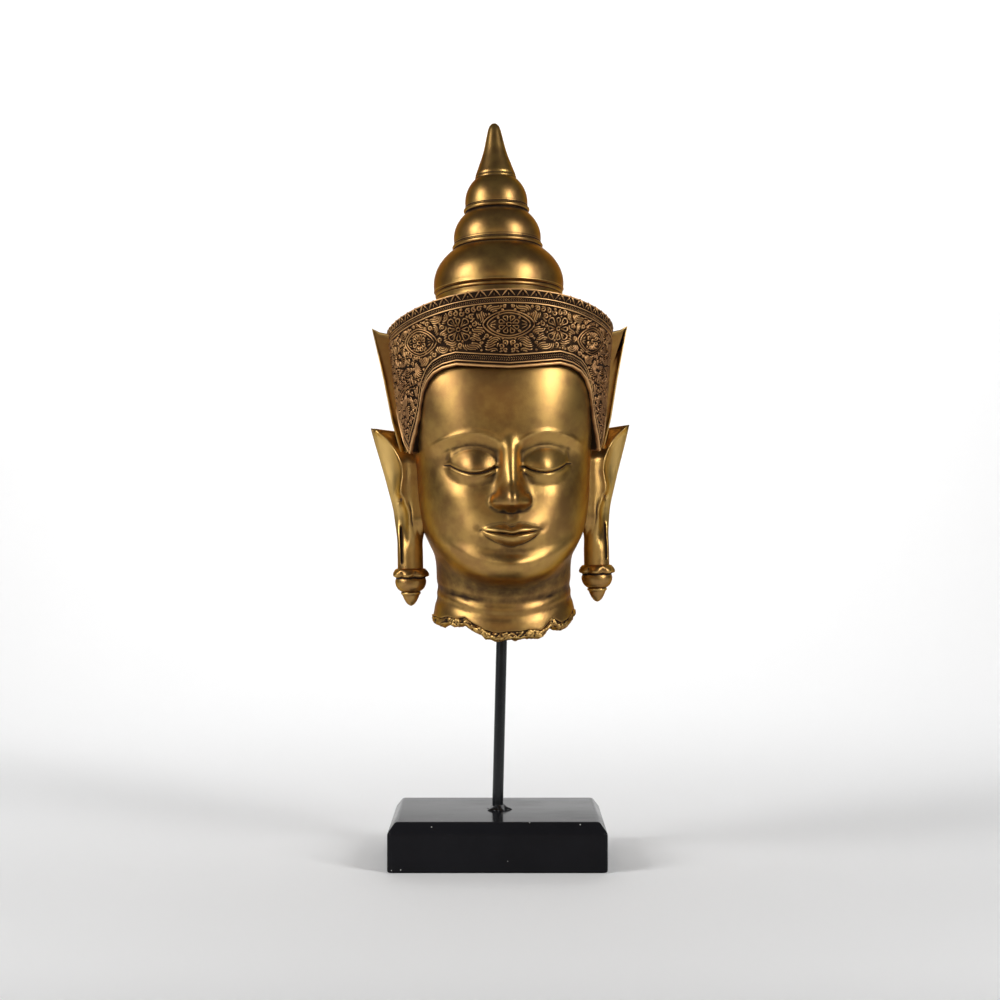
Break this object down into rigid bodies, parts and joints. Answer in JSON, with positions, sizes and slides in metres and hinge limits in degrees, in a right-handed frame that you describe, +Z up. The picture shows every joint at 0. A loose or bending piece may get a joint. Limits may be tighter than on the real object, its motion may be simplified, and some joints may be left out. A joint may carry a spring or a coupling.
{
  "type": "resin buddha statue",
  "caption": "Crowned buddha head in antiqued gold resin with a tiered spire and long ears, held by a black rod above a black lacquered block.",
  "frame": {"origin": "Middle of the block's flat underside.", "axes": "+Z is up, -Y is the way the face looks, and +X is to the right of someone who faces it."},
  "size_m": [0.1899, 0.1683, 0.5397],
  "materials": {
    "gilt": "antiqued gold paint on cast resin",
    "rod_steel": "black satin paint",
    "putty": "hardened black putty",
    "lacquer": "black gloss lacquer on wood"
  },
  "bodies": {
    "root": {"head": "gilt", "rod": "rod_steel", "rod_foot_bead": "putty", "block": "lacquer"}
  },
  "joints": []
}
